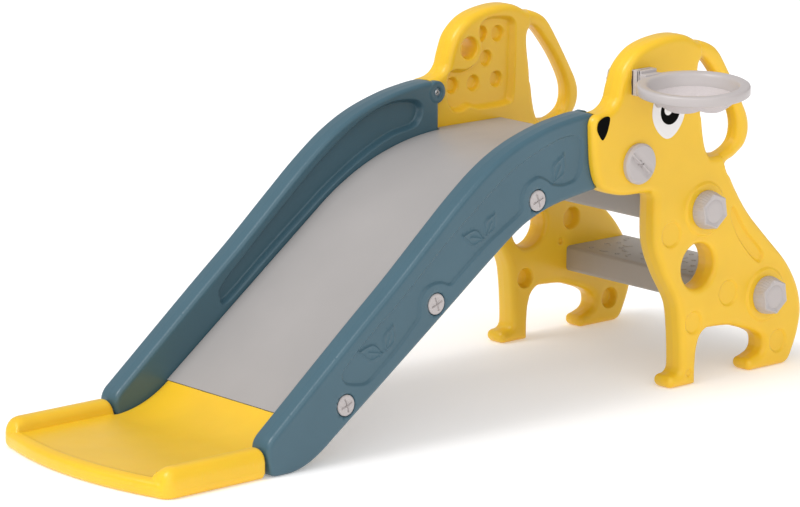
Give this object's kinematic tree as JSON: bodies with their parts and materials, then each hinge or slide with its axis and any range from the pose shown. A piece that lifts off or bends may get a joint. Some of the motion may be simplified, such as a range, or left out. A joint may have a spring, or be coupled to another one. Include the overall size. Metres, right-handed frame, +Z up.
{
  "type": "toddler slide",
  "caption": "Toddler slide with animal-shaped side panels, a railed sloping bed with a run-out tray, steps at the back and a lift-off ball hoop.",
  "frame": {"origin": "middle of the object's box, on the floor", "axes": "+Z up; +X from the run-out tray's front towards the steps; the hoop hangs on the -Y side"},
  "size_m": [1.435, 0.702, 0.6131],
  "materials": {
    "yellow_plastic": "satin blow-moulded",
    "blue_plastic": "satin blow-moulded",
    "grey_plastic": "satin blow-moulded",
    "step_plastic": "satin, embossed grip",
    "fitting_plastic": "semi-gloss injection-moulded",
    "steel": "plated",
    "net_fabric": "knitted mesh",
    "sticker_white": "printed film",
    "sticker_black": "printed film"
  },
  "bodies": {
    "frame": {"side_panel_left": "yellow_plastic", "side_panel_right": "yellow_plastic", "rail_left": "blue_plastic", "rail_right": "blue_plastic", "slide_bed": "grey_plastic", "exit_tray": "yellow_plastic", "step_lower": "step_plastic", "step_bolt_lower_left": "fitting_plastic", "step_bolt_lower_right": "fitting_plastic", "step_insert_lower_left": "fitting_plastic", "step_insert_lower_right": "fitting_plastic", "step_upper": "step_plastic", "step_bolt_upper_left": "fitting_plastic", "step_bolt_upper_right": "fitting_plastic", "step_insert_upper_left": "fitting_plastic", "step_insert_upper_right": "fitting_plastic", "rail_screw_lower_left": "fitting_plastic", "rail_screw_lower_right": "fitting_plastic", "rail_screw_middle_left": "fitting_plastic", "rail_screw_middle_right": "fitting_plastic", "rail_screw_upper_left": "fitting_plastic", "rail_screw_upper_right": "fitting_plastic", "panel_knob_left": "fitting_plastic", "panel_knob_right": "fitting_plastic", "lug_screw_left": "steel", "lug_screw_right": "steel", "hoop_bracket": "fitting_plastic", "hoop_bracket_nut": "fitting_plastic", "eye_sticker_left": "sticker_white", "eye_sticker_right": "sticker_white", "nostril_sticker_left": "sticker_black", "nostril_sticker_right": "sticker_black"},
    "hoop": {"hoop_ring": "fitting_plastic", "hoop_net": "net_fabric"}
  },
  "joints": [
    {"name": "hoop_lift", "type": "slide", "parent": "frame", "child": "hoop", "axis": [0, 0, 1], "range_m": [0, 0.06]}
  ]
}
